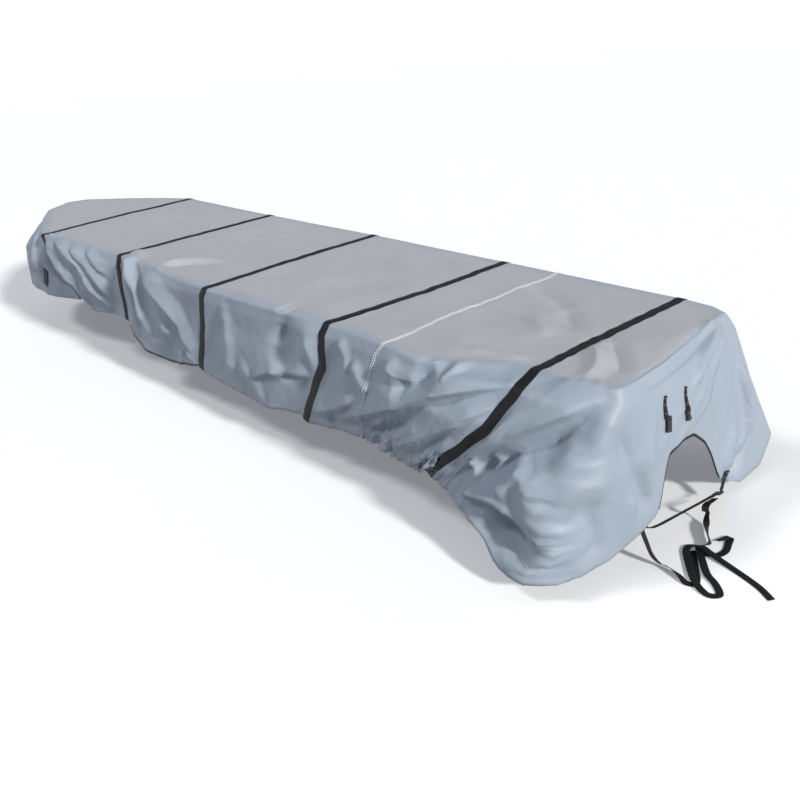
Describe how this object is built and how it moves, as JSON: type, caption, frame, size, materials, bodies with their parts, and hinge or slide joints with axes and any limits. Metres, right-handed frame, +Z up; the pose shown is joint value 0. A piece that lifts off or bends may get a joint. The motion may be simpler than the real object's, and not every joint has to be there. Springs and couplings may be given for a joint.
{
  "type": "fitted boat cover",
  "caption": "Grey fitted cover for a narrow, square-sterned boat, with sewn-on black cross straps and a tie across its motor cut-out",
  "frame": {"origin": "Just under the top of the cover, on its middle line and below the middle strap, where the boat holds it up", "axes": "+X towards the stern, along the cover; +Y across it, towards the side away from the viewer in the picture; +Z up"},
  "size_m": [5.1645, 1.3502, 0.6668],
  "materials": {
    "cloth": "coated polyester, plain weave, light grey-blue with a soft sheen",
    "webbing": "black polypropylene webbing, woven",
    "binding": "black folded tape",
    "plastic": "black moulded acetal"
  },
  "bodies": {
    "root": {"main_panel": "cloth", "stern_panel": "cloth", "strap_1": "webbing", "strap_2": "webbing", "strap_3": "webbing", "strap_4": "webbing", "strap_5": "webbing", "bow_tab": "webbing", "stern_tab_near": "webbing", "stern_tab_far": "webbing", "corner_tab": "webbing", "tie_taut": "webbing", "tie_end_near": "webbing", "tie_end_far": "webbing", "cutout_binding": "binding", "buckle_near": "plastic", "buckle_far": "plastic", "ladder_slider": "plastic"}
  },
  "joints": []
}
